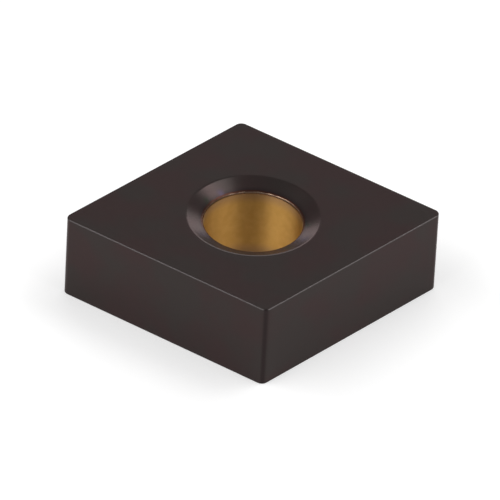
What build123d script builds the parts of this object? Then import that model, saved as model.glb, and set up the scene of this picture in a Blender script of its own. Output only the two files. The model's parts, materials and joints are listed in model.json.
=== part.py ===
"""Indexable turning insert: a flat-faced 80 degree rhombus in one piece of coated cemented carbide.

The plate has square flanks, rounded noses and a lightly honed cutting edge round both faces. A plain
bore runs through its middle, and both its mouths are countersunk, because either face may be used.

Frame, in millimetres: the origin is the middle of the lower face, on the bore's axis. +Z points up
through the bore, +X along the long diagonal to an 80 degree nose, and +Y along the short diagonal.
"""

from build123d import *

import os
from math import cos, isclose, radians, sin, tan

# Plate
INSCRIBED_CIRCLE = 12.70  # diameter of the circle that touches all four flanks
NOSE_ANGLE = 80.0  # degrees, between the flanks that meet on the X axis
THICKNESS = 4.76
NOSE_RADIUS = 0.40  # upright rounding of all four corners
EDGE_HONE = 0.05  # radius of the cutting edge round each face

# Hole
BORE_DIAMETER = 5.16
COUNTERSINK_DIAMETER = 7.00  # across the mouth, at the face
COUNTERSINK_ANGLE = 130.0  # degrees, included
MOUTH_BLEND = 0.35  # radius between a face and its countersink
BORE_LIP = 0.15  # radius between a countersink and the bore


def plate():
    """The rhombus with rounded corners, standing on its lower face, its edges still sharp."""
    half_angle = radians(NOSE_ANGLE / 2)
    nose_x = INSCRIBED_CIRCLE / 2 / sin(half_angle)
    side_y = INSCRIBED_CIRCLE / 2 / cos(half_angle)
    corners = [(nose_x, 0), (0, side_y), (-nose_x, 0), (0, -side_y)]
    outline = make_face(Polyline(*corners, close=True))
    return extrude(fillet(outline.vertices(), NOSE_RADIUS), THICKNESS)


def honed(blank):
    """The plate with its cutting edge rounded along the outline of both faces."""
    faces = blank.faces().filter_by(Axis.Z)
    return fillet(faces.edges(), EDGE_HONE)


def hole():
    """The bore and its two countersinks, as the body that they take out of the plate."""
    bore_radius = BORE_DIAMETER / 2
    mouth_radius = COUNTERSINK_DIAMETER / 2
    wall_angle = radians(90 - COUNTERSINK_ANGLE / 2)  # between the countersink and the face
    depth = (mouth_radius - bore_radius) * tan(wall_angle)
    section = make_face(
        Polyline(
            (0, 0),
            (mouth_radius, 0),
            (bore_radius, depth),
            (bore_radius, THICKNESS - depth),
            (mouth_radius, THICKNESS),
            (0, THICKNESS),
            close=True,
        )
    )
    lips = [v for v in section.vertices() if isclose(v.X, bore_radius)]
    return revolve(Plane.XZ * fillet(lips, BORE_LIP), Axis.Z)


def mouths(body):
    """The sharp edges where the countersinks meet the two faces."""
    circles = body.edges().filter_by(GeomType.CIRCLE)
    return circles.filter_by(lambda edge: isclose(edge.radius, COUNTERSINK_DIAMETER / 2))


def insert():
    """The whole insert."""
    body = honed(plate()) - hole()
    return fillet(mouths(body), MOUTH_BLEND)


os.makedirs("parts", exist_ok=True)
export_step(insert(), "parts/insert.step")
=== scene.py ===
import json
from math import atan2, cos, pi, radians, sin, tan

import bpy
from mathutils import Matrix, Vector


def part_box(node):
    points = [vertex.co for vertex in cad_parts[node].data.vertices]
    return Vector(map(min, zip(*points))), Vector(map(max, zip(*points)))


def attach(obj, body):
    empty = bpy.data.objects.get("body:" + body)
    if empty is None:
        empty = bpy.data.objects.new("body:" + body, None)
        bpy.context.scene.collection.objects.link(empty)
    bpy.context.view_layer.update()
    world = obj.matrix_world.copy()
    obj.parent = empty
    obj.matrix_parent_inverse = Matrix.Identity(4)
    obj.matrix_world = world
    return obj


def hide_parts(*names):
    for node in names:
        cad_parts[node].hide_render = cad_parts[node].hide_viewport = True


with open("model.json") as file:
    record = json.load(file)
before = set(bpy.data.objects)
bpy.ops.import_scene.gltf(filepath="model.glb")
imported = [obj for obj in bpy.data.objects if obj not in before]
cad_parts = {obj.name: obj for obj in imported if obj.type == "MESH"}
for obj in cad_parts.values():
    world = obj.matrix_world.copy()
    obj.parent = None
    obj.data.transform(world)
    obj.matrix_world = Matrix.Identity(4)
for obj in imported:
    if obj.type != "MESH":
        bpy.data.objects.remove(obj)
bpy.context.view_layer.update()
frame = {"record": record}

MM = 0.001

# Insert: what the frame doesn't give, with lengths in metres
NOSE_RADIUS = 0.40 * MM
EDGE_HONE = 0.05 * MM
MOUTH_RADIUS = 3.50 * MM
COUNTERSINK_SLOPE = radians(25)  # below the face
MOUTH_BLEND = 0.35 * MM
BORE_LIP = 0.15 * MM
GOLD_RADIUS = 2.625 * MM  # on the lip, where the dark coating ends and its gold undercoat shows

# Mesh
NOSE_STEPS = 16
FLANK_STEPS = 96
HONE_STEPS = 8
FACE_STEPS = 10
MOUTH_STEPS = 8
CONE_STEPS = 5
LIP_STEPS = 14
WALL_STEPS = 6  # from a rounded edge to the middle height
SLIVER = 0.001 * MM  # lengths closer than this count as equal

# Camera
AZIMUTH = radians(-6.432)
ELEVATION = radians(36.451)
ROLL = radians(3.133)
DISTANCE = 496.35 * MM
SIDE_STEP = 0.0287 * MM  # of the camera's axis, to the right of the origin
RISE = 2.0221 * MM  # of the camera's axis, above the origin
FIELD_OF_VIEW = radians(3.0047)

# Colours of the coating
COAT_BROWN = (0.0550, 0.0375, 0.0370, 1)
COAT_GREY = (0.0495, 0.0410, 0.0390, 1)
COUNTERSINK_PAINTED_SHADE = (0.0320, 0.0240, 0.0250, 1)  # painted shade, low on the countersink
FRINGE_BROWN = (0.0550, 0.0220, 0.0150, 1)  # where the coating thins out, just outside the gold radius
TINT_VIOLET = (0.0540, 0.0420, 0.0580, 1)
TINT_GREEN = (0.0330, 0.0370, 0.0280, 1)
NOSE_PAINTED_REFLECTION = (0.0350, 0.0260, 0.0260, 1)  # painted dark reflection, down the middle of each nose
EDGE_PAINTED_HIGHLIGHT = (0.114, 0.102, 0.102, 1)  # painted highlight, paler on the rounded cutting edges
COAT_EDGE_TINT = (0.80, 0.75, 0.75, 1)  # keeps reflections from growing towards grazing angles

# Colours of the undercoat, bare in the hole
LIP_ROSE = (0.30, 0.205, 0.145, 1)
GOLD_ROSE = (0.50, 0.31, 0.15, 1)  # at the wall's two ends
GOLD = (0.69, 0.42, 0.125, 1)
GOLD_DEEP = (0.65, 0.39, 0.11, 1)  # in clouds

# Gloss
COAT_METALLIC = 0.6  # between paint and metal, so that it mirrors softly in its own colour
COAT_IOR = 1.1
COAT_ROUGHNESS = 0.24
LIP_ROUGHNESS = 0.28
BORE_ROUGHNESS = 0.62
ROUGHNESS_DRIFT = 0.03  # up and down, on every surface
BORE_ANISOTROPY = 0.9  # from the fine rings that grinding leaves round the bore
BORE_TURN = 0.25  # of a whole turn, so that reflections spread along the bore

# Where the colours change
SHADE_REACH = 0.32 * MM  # of the ring of painted shade, outwards from the gold radius
FRINGE_WIDTH = 0.11 * MM
GOLD_WOBBLE = 0.04 * MM  # how far the undercoat's outline wanders
ROSE_DEPTH = 0.42 * MM  # below the face, where the gold is still rose,
GOLD_DEPTH = 1.25 * MM  # and where it is pure
NOSE_NIL, NOSE_WHOLE = 0.35, 0.85  # of the way from a nose's end to its middle, over which the painted dark reflection comes in

# Noise: sizes of its features, and the part of its range over which one colour turns into the other
MOTTLE_SIZE = 2.6 * MM
STREAK_SIZE = 0.40 * MM
GRAIN_SIZE = 0.035 * MM
GRAIN_DEPTH = 0.0006 * MM
SOFT_DETAIL, GRAIN_DETAIL = 2.0, 3.0
MOTTLE_RANGE = (0.35, 0.65)
RAGGED_RANGE = (0.35, 0.60)
CLOUD_RANGE = (0.3, 0.7)

# Interference colours on the countersinks: degrees from +X, distance from the axis, reach and colour
TINTS = [
    (122, 2.80 * MM, 0.36 * MM, TINT_VIOLET),
    (142, 2.82 * MM, 0.40 * MM, TINT_GREEN),
    (205, 2.90 * MM, 0.45 * MM, TINT_VIOLET),
    (302, 2.95 * MM, 0.45 * MM, TINT_GREEN),
    (322, 2.95 * MM, 0.60 * MM, TINT_VIOLET),
    (352, 2.90 * MM, 0.45 * MM, TINT_GREEN),
]

# Studio
FLOOR_SIZE = 8.0
FLOOR_COLOUR = (0.72, 0.72, 0.72, 1)
FLOOR_GLOW = 0.40
ROOM_LIGHT = 0.27
LAMP_DISTANCE = 1.0  # from the insert

# Lamps: name, azimuth from +X towards +Y, height above the floor's plane, (width, tall) and radiance.
# Angles are in degrees.
LAMPS = [
    ("left_softbox", 190, 48, (1.10, 0.38), 4.1),
    ("right_softbox", 350, 53, (1.10, 0.38), 2.75),
    ("high_softbox", 25, 61, (0.45, 0.36), 2.6),
    ("back_softbox", 78, 16, (1.15, 0.36), 2.5),
    ("back_panel", 84, 40, (0.60, 0.36), 0.2),
]

# Sockets of a Mix node that mixes colours
MIX_SHARE, MIX_FIRST, MIX_SECOND, MIX_RESULT = 0, 6, 7, 2


def mount(name):
    """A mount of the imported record."""
    return next(m for m in frame["record"]["mounts"] if m["name"] == name)


def lowest_highest():
    """The heights of the two faces."""
    low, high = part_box("insert")
    return low.z, high.z


def outline_columns():
    """(point, outward normal, nose) round the rhombus with rounded noses, anticlockwise from a nose.

    Nose is 1 in the middle of a rounded nose and 0 from its ends on.
    """
    flank = mount("flank_right_back")
    normal = Vector(flank["axis"]).normalized()
    inscribed_radius = Vector(flank["pos_m"]).dot(normal)
    lean = atan2(normal.y, normal.x)
    spans = [lean, pi / 2 - lean, lean, pi / 2 - lean]  # half the turn of each nose
    arcs = []
    for corner, half_turn in enumerate(spans):
        toward = corner * pi / 2
        reach = (inscribed_radius - NOSE_RADIUS) / cos(half_turn)
        centre = Vector((cos(toward), sin(toward))) * reach
        arc = []
        for turn in bend(NOSE_STEPS, -1, 1):
            angle = toward + half_turn * turn
            normal = Vector((cos(angle), sin(angle)))
            arc.append((centre + normal * NOSE_RADIUS, normal, 1 - abs(turn)))
        arcs.append(arc)
    columns = []
    for arc, following in zip(arcs, arcs[1:] + arcs[:1]):
        start, normal, _ = arc[-1]
        end = following[0][0]
        columns += arc
        columns += [(start.lerp(end, i / FLANK_STEPS), normal, 0) for i in range(1, FLANK_STEPS)]
    return columns


def bend(steps, start, end):
    """Even steps from start to end, both included."""
    return [start + (end - start) * i / steps for i in range(steps + 1)]


def upper_rows(height, middle, bore_radius):
    """The section's upper half, from the flank over the face into the bore.

    A row is (share, inset, radius, z, lean). Share is 0 on the outline, inset by that much, and 1 on a
    circle of that radius about the bore. Lean turns the surface normal from outward, 0, to up, 90
    degrees, and on to inward.
    """
    upward, inward = pi / 2, pi
    hone_foot = height - EDGE_HONE
    rows = [(0, 0, 0, z, 0) for z in bend(WALL_STEPS, middle, hone_foot)[1:-1]]
    for a in bend(HONE_STEPS, 0, upward):
        rows.append((0, EDGE_HONE * (1 - cos(a)), 0, hone_foot + EDGE_HONE * sin(a), a))
    blend_reach = MOUTH_BLEND * tan(COUNTERSINK_SLOPE / 2)
    mouth = MOUTH_RADIUS + blend_reach
    for share in bend(FACE_STEPS, 0, 1)[1:-1]:
        rows.append((share, EDGE_HONE, mouth, height, upward))
    for a in bend(MOUTH_STEPS, upward, upward + COUNTERSINK_SLOPE):
        radius = mouth + MOUTH_BLEND * cos(a)
        rows.append((1, 0, radius, height - MOUTH_BLEND * (1 - sin(a)), a))
    cone_start = rows[-1]
    lip_centre = bore_radius + BORE_LIP
    lip = []
    for a in bend(LIP_STEPS, upward + COUNTERSINK_SLOPE, inward):
        lip.append((lip_centre + BORE_LIP * cos(a), BORE_LIP * sin(a), a))
    drop = (cone_start[2] - lip[0][0]) * tan(COUNTERSINK_SLOPE)
    lip_height = cone_start[3] - drop - lip[0][1]
    for share in bend(CONE_STEPS, 0, 1)[1:-1]:
        radius = cone_start[2] + (lip[0][0] - cone_start[2]) * share
        rows.append((1, 0, radius, cone_start[3] - drop * share, upward + COUNTERSINK_SLOPE))
    rows += [(1, 0, radius, lip_height + rise, a) for radius, rise, a in lip]
    rows += [(1, 0, bore_radius, z, inward) for z in bend(WALL_STEPS, lip_height, middle)[1:-1]]
    return rows


def placed(row, column):
    """(vertex, normal) of a row at a column."""
    share, inset, radius, z, lean = row
    point, normal, _ = column
    spoke = point.normalized()
    across = (point - normal * inset) * (1 - share) + spoke * radius * share
    outward = spoke if share == 1 else normal
    return Vector((*across, z)), Vector((*(outward * cos(lean)), sin(lean)))


def insert_mesh():
    """The whole insert as one closed skin of quads, with its surfaces' own normals."""
    low, high = lowest_highest()
    middle = (low + high) / 2
    bore_radius = mount("bore")["dims"]["r_mm"] * MM
    upper = upper_rows(high, middle, bore_radius)
    lower = [(s, i, r, low + high - z, -lean) for s, i, r, z, lean in reversed(upper)]
    rows = upper + lower
    columns = outline_columns()
    placed_all = [placed(row, column) for row in rows for column in columns]
    around, along = len(columns), len(rows)
    faces = []
    for r in range(along):
        for c in range(around):
            here, up = r * around, (r + 1) % along * around
            right = (c + 1) % around
            faces.append((here + c, here + right, up + right, up + c))
    mesh = bpy.data.meshes.new("turning_insert")
    mesh.from_pydata([v for v, _ in placed_all], [], faces)
    mesh.shade_smooth()
    mesh.normals_split_custom_set_from_vertices([n for _, n in placed_all])
    mark_edges(mesh, rows, columns)
    mark_wall(mesh, rows, around, bore_radius)
    return mesh


def mark_edges(mesh, rows, columns):
    """Vertex attributes that are 1 along the rounded cutting edges and down the middle of each nose, where
    the painted highlight and the painted dark reflection go.
    """
    outside = [share == 0 and abs(lean) < pi / 2 for share, _, _, _, lean in rows]
    hone = [float(out and row[-1] != 0) for out, row in zip(outside, rows) for _ in columns]
    nose = [float(column[-1] * out) for out in outside for column in columns]
    mesh.attributes.new("hone", "FLOAT", "POINT").data.foreach_set("value", hone)
    mesh.attributes.new("nose", "FLOAT", "POINT").data.foreach_set("value", nose)


def mark_wall(mesh, rows, around, bore_radius):
    """Gives the faces of the bore's wall the second material."""
    on_wall = [abs(radius - bore_radius) < SLIVER for _, _, radius, _, _ in rows]
    for r in range(len(rows) - 1):
        if on_wall[r] and on_wall[r + 1]:
            for c in range(around):
                mesh.polygons[r * around + c].material_index = 1


def blank_material(name):
    """A material with no nodes but its output, as its node tree and that node."""
    material = bpy.data.materials.new(name)
    material.use_nodes = True
    tree = material.node_tree
    tree.nodes.clear()
    return material, tree, tree.nodes.new("ShaderNodeOutputMaterial")


def feed(tree, socket, value):
    """Gives a socket a value, or links another socket to it."""
    if isinstance(value, bpy.types.NodeSocket):
        tree.links.new(value, socket)
    else:
        socket.default_value = value


def add(tree, kind, sockets, **settings):
    """A new node of that kind, with its sockets fed by name."""
    made = tree.nodes.new(kind)
    for name, value in settings.items():
        setattr(made, name, value)
    for name, value in sockets.items():
        feed(tree, made.inputs[name], value)
    return made


def calculate(tree, operation, *values):
    """The result of one sum."""
    made = tree.nodes.new("ShaderNodeMath")
    made.operation = operation
    for socket, value in zip(made.inputs, values):
        feed(tree, socket, value)
    return made.outputs[0]


def ease(tree, value, nil, whole):
    """0 where the value is nil, 1 where it is whole, and smooth between."""
    sockets = {"Value": value, "From Min": nil, "From Max": whole}
    return add(tree, "ShaderNodeMapRange", sockets, interpolation_type="SMOOTHSTEP").outputs[0]


def blend(tree, share, first, second):
    """A mix of two colours."""
    made = tree.nodes.new("ShaderNodeMix")
    made.data_type = "RGBA"
    feed(tree, made.inputs[MIX_SHARE], share)
    feed(tree, made.inputs[MIX_FIRST], first)
    feed(tree, made.inputs[MIX_SECOND], second)
    return made.outputs[MIX_RESULT]


def noise(tree, place, size, detail=SOFT_DETAIL):
    """Soft noise, about a half, with features of that size."""
    sockets = {"Vector": place, "Scale": 1 / size, "Detail": detail}
    return add(tree, "ShaderNodeTexNoise", sockets).outputs[0]


def drifting(tree, place, middle, drift):
    """A value that drifts about its middle over the surface."""
    return calculate(tree, "MULTIPLY_ADD", noise(tree, place, STREAK_SIZE), 2 * drift, middle - drift)


def flat(tree, place):
    """The place without its height."""
    return add(tree, "ShaderNodeVectorMath", {0: place, 1: (1, 1, 0)}, operation="MULTIPLY").outputs[0]


def distance_from_axis(tree, place):
    """How far a point is from the bore's axis."""
    return add(tree, "ShaderNodeVectorMath", {0: flat(tree, place)}, operation="LENGTH").outputs["Value"]


def tints(tree, place, colour):
    """The colour with the interference colours that show in places low on the countersinks."""
    ragged = ease(tree, noise(tree, place, STREAK_SIZE), *RAGGED_RANGE)
    for azimuth, distance, reach, tint in TINTS:
        spot = (distance * cos(radians(azimuth)), distance * sin(radians(azimuth)), 0)
        apart = add(tree, "ShaderNodeVectorMath", {0: flat(tree, place), 1: spot}, operation="DISTANCE")
        near = ease(tree, apart.outputs["Value"], reach, 0)
        colour = blend(tree, calculate(tree, "MULTIPLY", near, ragged), colour, tint)
    return colour


def coat_colour(tree, place, radius):
    """Dark brown-grey, darker low on the countersink with painted shade and tinted there, and brown where it
    thins out.
    """
    mottle = ease(tree, noise(tree, place, MOTTLE_SIZE), *MOTTLE_RANGE)
    body = blend(tree, mottle, COAT_BROWN, COAT_GREY)
    # painted shade: darker low on the countersink, towards the gold radius
    shaded = blend(tree, ease(tree, radius, GOLD_RADIUS + SHADE_REACH, GOLD_RADIUS), body, COUNTERSINK_PAINTED_SHADE)
    tinted = tints(tree, place, shaded)
    fringe = ease(tree, radius, GOLD_RADIUS + FRINGE_WIDTH, GOLD_RADIUS + FRINGE_WIDTH / 2)
    return blend(tree, fringe, tinted, FRINGE_BROWN)


def depth_below_face(tree, place):
    """How far a point is from the nearer face's plane."""
    low, high = lowest_highest()
    height = add(tree, "ShaderNodeSeparateXYZ", {"Vector": place}).outputs["Z"]
    from_low = calculate(tree, "SUBTRACT", height, low)
    return calculate(tree, "MINIMUM", from_low, calculate(tree, "SUBTRACT", high, height))


def gold_colour(tree, place):
    """Gold with deeper clouds, turning to rose towards the lips."""
    cloudy = blend(tree, ease(tree, noise(tree, place, STREAK_SIZE), *CLOUD_RANGE), GOLD, GOLD_DEEP)
    pure = ease(tree, depth_below_face(tree, place), ROSE_DEPTH, GOLD_DEPTH)
    return blend(tree, pure, GOLD_ROSE, cloudy)


def coating_material():
    """Dark coating with a fine grain, paler on the edges as a painted highlight, darker on the noses as a
    painted dark reflection, and gone from the lip.
    """
    material, tree, output = blank_material("coated_carbide")
    place = add(tree, "ShaderNodeTexCoord", {}).outputs["Object"]
    radius = distance_from_axis(tree, place)
    wandering = calculate(tree, "ADD", radius, drifting(tree, place, 0, GOLD_WOBBLE))
    bare = ease(tree, wandering, GOLD_RADIUS + GOLD_WOBBLE / 2, GOLD_RADIUS - GOLD_WOBBLE / 2)
    hone = add(tree, "ShaderNodeAttribute", {}, attribute_name="hone").outputs["Fac"]
    # painted highlight: paler colour along the rounded cutting edges
    edge_highlighted = blend(tree, hone, coat_colour(tree, place, wandering), EDGE_PAINTED_HIGHLIGHT)
    nose = add(tree, "ShaderNodeAttribute", {}, attribute_name="nose").outputs["Fac"]
    # painted dark reflection, down the middle of each nose
    coat = blend(tree, ease(tree, nose, NOSE_NIL, NOSE_WHOLE), edge_highlighted, NOSE_PAINTED_REFLECTION)
    coat_rough = drifting(tree, place, COAT_ROUGHNESS, ROUGHNESS_DRIFT)
    rough = calculate(tree, "MULTIPLY_ADD", bare, LIP_ROUGHNESS - COAT_ROUGHNESS, coat_rough)
    grain = noise(tree, place, GRAIN_SIZE, GRAIN_DETAIL)
    bump = add(tree, "ShaderNodeBump", {"Height": grain, "Distance": GRAIN_DEPTH, "Strength": 1.0})
    sockets = {
        "Base Color": blend(tree, bare, coat, LIP_ROSE),
        "Metallic": calculate(tree, "MAXIMUM", bare, COAT_METALLIC),
        "Roughness": rough,
        "IOR": COAT_IOR,
        "Specular Tint": COAT_EDGE_TINT,
        "Normal": bump.outputs[0],
    }
    surface = add(tree, "ShaderNodeBsdfPrincipled", sockets)
    tree.links.new(surface.outputs[0], output.inputs["Surface"])
    return material


def bore_material():
    """The bore's gold wall, with the fine rings of its grinding."""
    material, tree, output = blank_material("bore_gold")
    place = add(tree, "ShaderNodeTexCoord", {}).outputs["Object"]
    around = add(tree, "ShaderNodeTangent", {}, direction_type="RADIAL", axis="Z")
    sockets = {
        "Base Color": gold_colour(tree, place),
        "Metallic": 1.0,
        "Roughness": drifting(tree, place, BORE_ROUGHNESS, ROUGHNESS_DRIFT),
        "Anisotropic": BORE_ANISOTROPY,
        "Anisotropic Rotation": BORE_TURN,
        "Tangent": around.outputs[0],
    }
    surface = add(tree, "ShaderNodeBsdfPrincipled", sockets)
    tree.links.new(surface.outputs[0], output.inputs["Surface"])
    return material


def make_insert():
    """The insert's piece, standing for its CAD node."""
    piece = bpy.data.objects.new("carbide_insert", insert_mesh())
    bpy.context.scene.collection.objects.link(piece)
    piece.data.materials.append(coating_material())
    piece.data.materials.append(bore_material())
    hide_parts("insert")
    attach(piece, "root")


def make_camera():
    """The camera, far off with a narrow view."""
    back = Vector((sin(AZIMUTH) * cos(ELEVATION), -cos(AZIMUTH) * cos(ELEVATION), sin(ELEVATION)))
    level = (-back).cross(Vector((0, 0, 1))).normalized()
    upright = level.cross(-back)
    right = level * cos(ROLL) + upright * sin(ROLL)
    up = upright * cos(ROLL) - level * sin(ROLL)
    data = bpy.data.cameras.new("camera")
    data.angle = FIELD_OF_VIEW
    camera = bpy.data.objects.new("camera", data)
    bpy.context.scene.collection.objects.link(camera)
    turn = Matrix((right, up, back)).transposed().to_4x4()
    place = back * DISTANCE + up * RISE + right * SIDE_STEP
    camera.matrix_world = Matrix.Translation(place) @ turn
    bpy.context.scene.camera = camera


def seen_directly(tree):
    """A factor that is 1 for what the camera, a mirror or glass shows."""
    path = tree.nodes.new("ShaderNodeLightPath")
    mirrored = calculate(tree, "MAXIMUM", path.outputs["Is Glossy Ray"], path.outputs["Is Transmission Ray"])
    return calculate(tree, "MAXIMUM", path.outputs["Is Camera Ray"], mirrored)


def floor_material():
    """Pale and matt, with a faint glow, so that the floor is white round the insert's shadow."""
    material, tree, output = blank_material("floor")
    strength = calculate(tree, "MULTIPLY", seen_directly(tree), FLOOR_GLOW)
    matt = add(tree, "ShaderNodeBsdfDiffuse", {"Color": FLOOR_COLOUR})
    glow = add(tree, "ShaderNodeEmission", {"Strength": strength})
    both = add(tree, "ShaderNodeAddShader", {0: matt.outputs[0], 1: glow.outputs[0]})
    tree.links.new(both.outputs[0], output.inputs["Surface"])
    return material


def make_floor():
    """The pale floor, level with the insert's lower face."""
    half = FLOOR_SIZE / 2
    corners = [(-half, -half, 0), (half, -half, 0), (half, half, 0), (-half, half, 0)]
    mesh = bpy.data.meshes.new("floor")
    mesh.from_pydata(corners, [], [(0, 1, 2, 3)])
    mesh.materials.append(floor_material())
    floor = bpy.data.objects.new("floor", mesh)
    bpy.context.scene.collection.objects.link(floor)


def make_world():
    """The dim light of the room."""
    world = bpy.data.worlds.new("studio")
    bpy.context.scene.world = world
    world.use_nodes = True
    tree = world.node_tree
    tree.nodes.clear()
    output = tree.nodes.new("ShaderNodeOutputWorld")
    background = add(tree, "ShaderNodeBackground", {"Strength": ROOM_LIGHT})
    tree.links.new(background.outputs[0], output.inputs["Surface"])


def softbox(name, azimuth, height, size, radiance):
    """A rectangular lamp that faces the insert."""
    a, h = radians(azimuth), radians(height)
    toward = Vector((cos(a) * cos(h), sin(a) * cos(h), sin(h)))
    width, tall = size
    data = bpy.data.lights.new(name, "AREA")
    data.shape = "RECTANGLE"
    data.size = width
    data.size_y = tall
    data.energy = radiance * pi * width * tall
    lamp = bpy.data.objects.new(name, data)
    bpy.context.scene.collection.objects.link(lamp)
    lamp.location = toward * LAMP_DISTANCE
    lamp.rotation_mode = "QUATERNION"
    lamp.rotation_quaternion = toward.to_track_quat("Z", "Y")


def make_lights():
    """Softboxes left, right, high up and low behind, and a faint panel behind. The front stays dark."""
    for lamp in LAMPS:
        softbox(*lamp)


make_camera()
make_insert()
make_floor()
make_world()
make_lights()
bpy.context.scene.view_settings.view_transform = "Standard"
